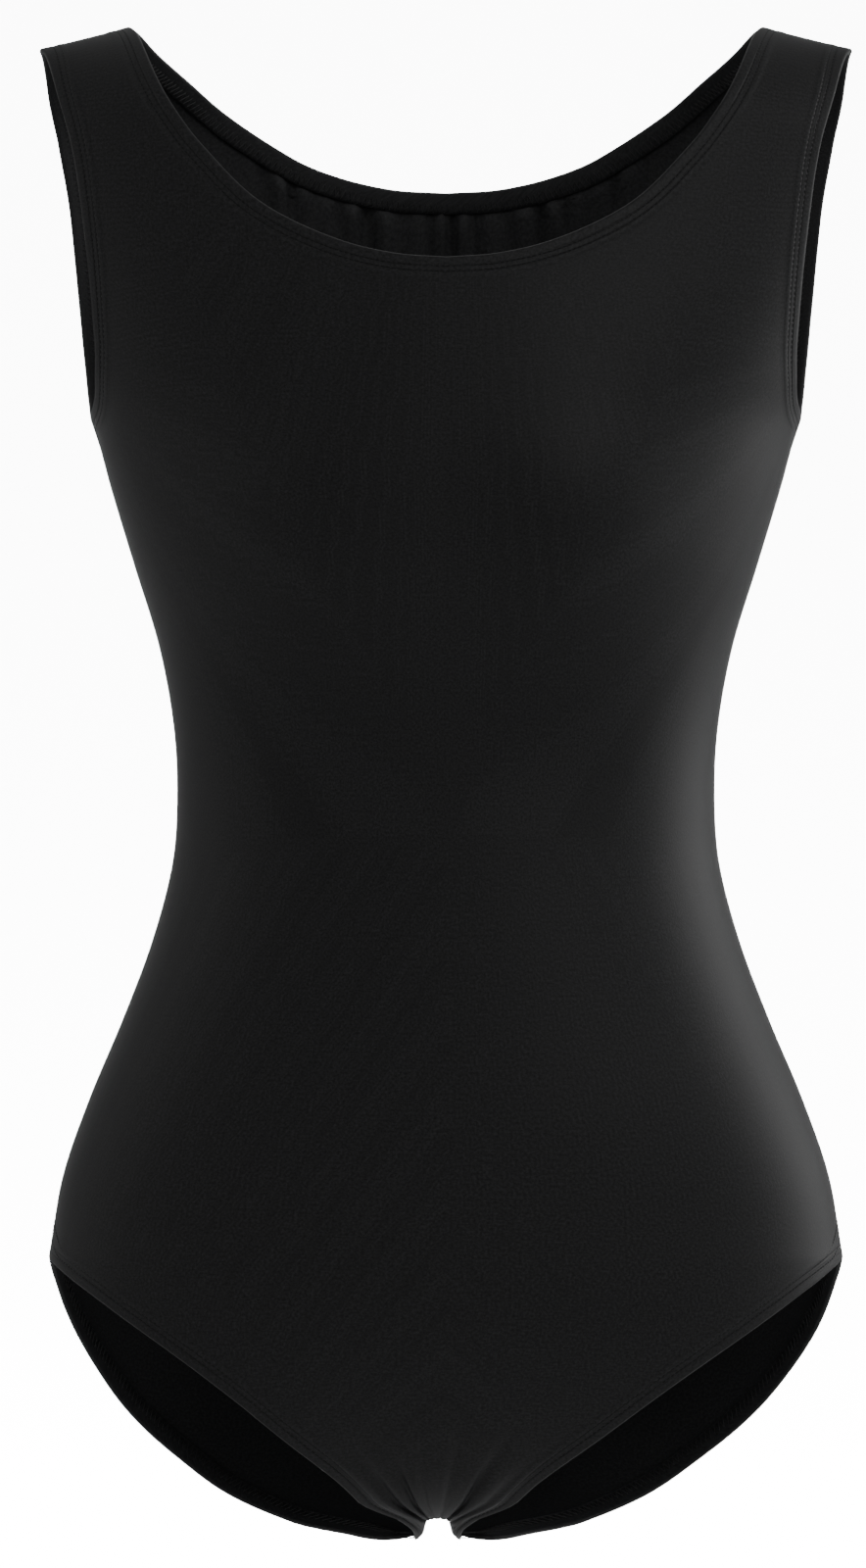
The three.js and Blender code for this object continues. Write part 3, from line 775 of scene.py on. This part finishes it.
for name, half in (("left", 1), ("right", -1)):
    w = np.linspace(*SIDE_SEAM, 260)
    centre = np.c_[np.full_like(w, half * math.pi / 2), w]
    overlock(f"side_overlock_{name}", f"side_seam_{name}", centre,
             np.c_[half * SEAM_HALF / front_depth(w), 0 * w])
    across = np.linspace(STRAP[0] + SHOULDER_INSET, STRAP[1] - SHOULDER_INSET, 14)
    u = half * np.arcsin(across / TOP_HALF)
    centre = np.c_[u, np.full_like(u, RIDGE)]
    overlock(f"shoulder_overlock_{name}", f"shoulder_seam_{name}", centre,
             np.tile([0, SEAM_HALF], (len(u), 1)))
u = np.arcsin(np.linspace(-CROTCH_SEAM_HALF, CROTCH_SEAM_HALF, 24) / HIP_HALF)
centre = np.c_[u, np.full_like(u, -UNDER_ROUND * CROTCH_ANGLE)]
overlock("crotch_overlock", "crotch_seam", centre, np.tile([0, SEAM_HALF], (len(u), 1)))

angle = np.radians(np.linspace(*LINING_ANGLES, 60))[:, None]
reach = curve([(47, 30), (60, 19), (68, 15), (97.5, 15)])(np.degrees(angle))
lining_u = np.arcsin(reach * np.linspace(-1, 1, 25) / HIP_HALF)
lining_w = -UNDER_ROUND * angle + 0 * lining_u
lining_cloth = patch("lining_cloth", lining_u, lining_w, LINING_LEVEL, LINING_THICK)
LINING = jersey("lining_black", base=0.008, speck=0.014, rough=0.8, sheen=0.1)
lining_cloth.data.materials.append(LINING)
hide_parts("crotch_lining")
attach(lining_cloth, "root")

# Studio: a white paper sweep from the floor below the garment up to a wall behind it, glowing
# right behind it, with large soft lights at the right and in front and a weak one at the left.
FLOOR_Z = -1.6
WALL_Y = 14
WALL_RISE = 14
SWEEP_WIDTH = 40
LIT_Z = -0.3
bpy.ops.mesh.primitive_plane_add(size=1, location=(0, 0, FLOOR_Z))
sweep = bpy.context.object
sweep.name = "floor"
sweep.scale = (SWEEP_WIDTH, 2 * WALL_Y, 1)
bpy.ops.object.transform_apply(location=True, scale=True)
bpy.ops.object.mode_set(mode="EDIT")
bpy.ops.mesh.select_mode(type="EDGE")
bpy.ops.mesh.select_all(action="DESELECT")
bpy.ops.object.mode_set(mode="OBJECT")
for edge in sweep.data.edges:
    edge.select = all(sweep.data.vertices[v].co.y > 0 for v in edge.vertices)
bpy.ops.object.mode_set(mode="EDIT")
bpy.ops.mesh.extrude_region_move(TRANSFORM_OT_translate={"value": (0, 0, WALL_RISE)})
bpy.ops.object.mode_set(mode="OBJECT")
sweep.select_set(False)
paper = bpy.data.materials.new("white_paper")
paper.use_nodes = True
shader = paper.node_tree.nodes["Principled BSDF"]
shader.inputs["Base Color"].default_value = (0.9, 0.9, 0.9, 1)
shader.inputs["Roughness"].default_value = 0.9
shader.inputs["Emission Color"].default_value = (1, 1, 1, 1)
place = paper.node_tree.nodes.new("ShaderNodeTexCoord")
spot = paper.node_tree.nodes.new("ShaderNodeVectorMath")
spot.operation = "DISTANCE"
spot.inputs[1].default_value = (0, WALL_Y, LIT_Z)
paper.node_tree.links.new(place.outputs["Object"], spot.inputs[0])
glow = paper.node_tree.nodes.new("ShaderNodeMapRange")
for key, value in (("From Min", 1.6), ("From Max", 3.2), ("To Min", 10.0), ("To Max", 0.0)):
    glow.inputs[key].default_value = value
paper.node_tree.links.new(spot.outputs["Value"], glow.inputs["Value"])
paper.node_tree.links.new(glow.outputs["Result"], shader.inputs["Emission Strength"])
sweep.data.materials.append(paper)

for name, at, size, power in (
    ("soft_right", (2.2, 0.85, 0.1), 1.5, 24),
    ("soft_left", (-2.4, 0.1, 0.2), 1.4, 3),
    ("soft_front", (1.9, -2.6, 1.6), 2.0, 22),
):
    bpy.ops.object.light_add(type="AREA", location=at)
    lamp = bpy.context.object
    lamp.name = name
    lamp.data.shape = "SQUARE"
    lamp.data.size = size
    lamp.data.energy = power
    aim = np.array([0, 0, LIT_Z]) - np.array(at)
    lamp.rotation_euler = Vector(aim).to_track_quat("-Z", "Y").to_euler()
    lamp.select_set(False)
world = bpy.data.worlds.new("studio")
bpy.context.scene.world = world
world.use_nodes = True
world.node_tree.nodes["Background"].inputs["Color"].default_value = (1, 1, 1, 1)
world.node_tree.nodes["Background"].inputs["Strength"].default_value = 0.42
